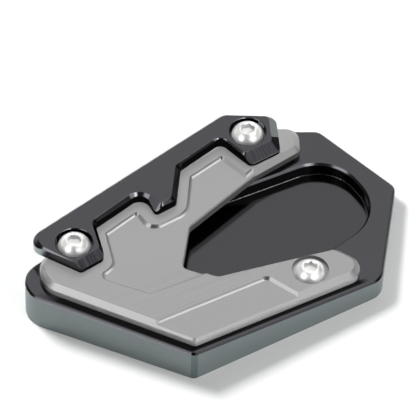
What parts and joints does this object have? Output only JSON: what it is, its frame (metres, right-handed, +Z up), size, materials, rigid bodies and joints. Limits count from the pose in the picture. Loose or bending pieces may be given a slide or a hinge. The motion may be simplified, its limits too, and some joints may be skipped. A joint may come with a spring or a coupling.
{
  "type": "kickstand foot enlarger",
  "caption": "Wedge base plate with a pocket for the foot of a side stand, a notched clamp plate screwed over it, and a wavy trim bar along the back.",
  "frame": {"origin": "centre of the bounding box, on the ground under the base plate", "axes": "+X along the long side, towards the thin end of the wedge; +Y across it, towards the side with the bar; +Z up from the ground"},
  "size_m": [0.1204, 0.0814, 0.022],
  "materials": {
    "black_anodised": "black anodised, satin",
    "grey_anodised": "titanium grey anodised, satin",
    "stainless_steel": "polished"
  },
  "bodies": {
    "root": {"base_plate": "black_anodised", "clamp_plate": "grey_anodised", "top_bar": "black_anodised", "left_screw": "stainless_steel", "back_screw": "stainless_steel", "front_screw": "stainless_steel"}
  },
  "joints": []
}
